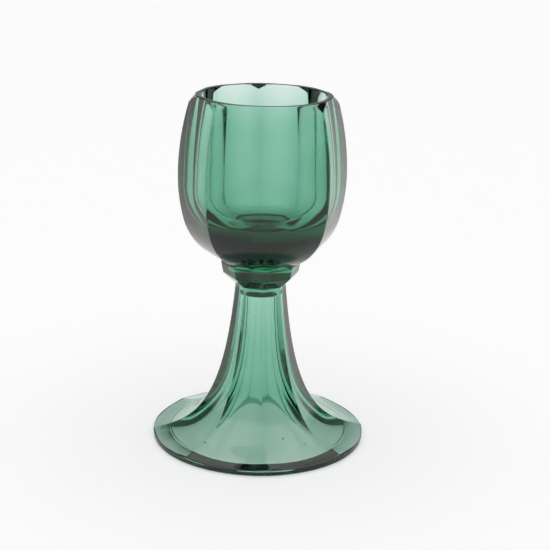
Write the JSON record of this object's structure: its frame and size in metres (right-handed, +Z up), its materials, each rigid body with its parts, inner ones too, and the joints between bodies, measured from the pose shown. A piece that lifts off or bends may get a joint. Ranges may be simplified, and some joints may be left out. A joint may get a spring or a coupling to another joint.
{
  "type": "glass candlestick",
  "caption": "Faceted pressed-glass candlestick: a round well in an eight-sided barrel cup, on a wafer and a hollow flared foot.",
  "frame": {"origin": "centre of the resting ring under the foot", "axes": "+Z up along the candlestick, -Y towards the wide front panel of the cup"},
  "size_m": [0.0916, 0.0916, 0.15],
  "materials": {
    "cup_glass": "clear blue-green pressed glass, fire-polished",
    "wafer_glass": "clear blue-green pressed glass, thick and so darker",
    "foot_glass": "clear blue-green pressed glass, fire-polished"
  },
  "bodies": {
    "root": {"cup": "cup_glass", "wafer": "wafer_glass", "stem_and_foot": "foot_glass"}
  },
  "joints": []
}
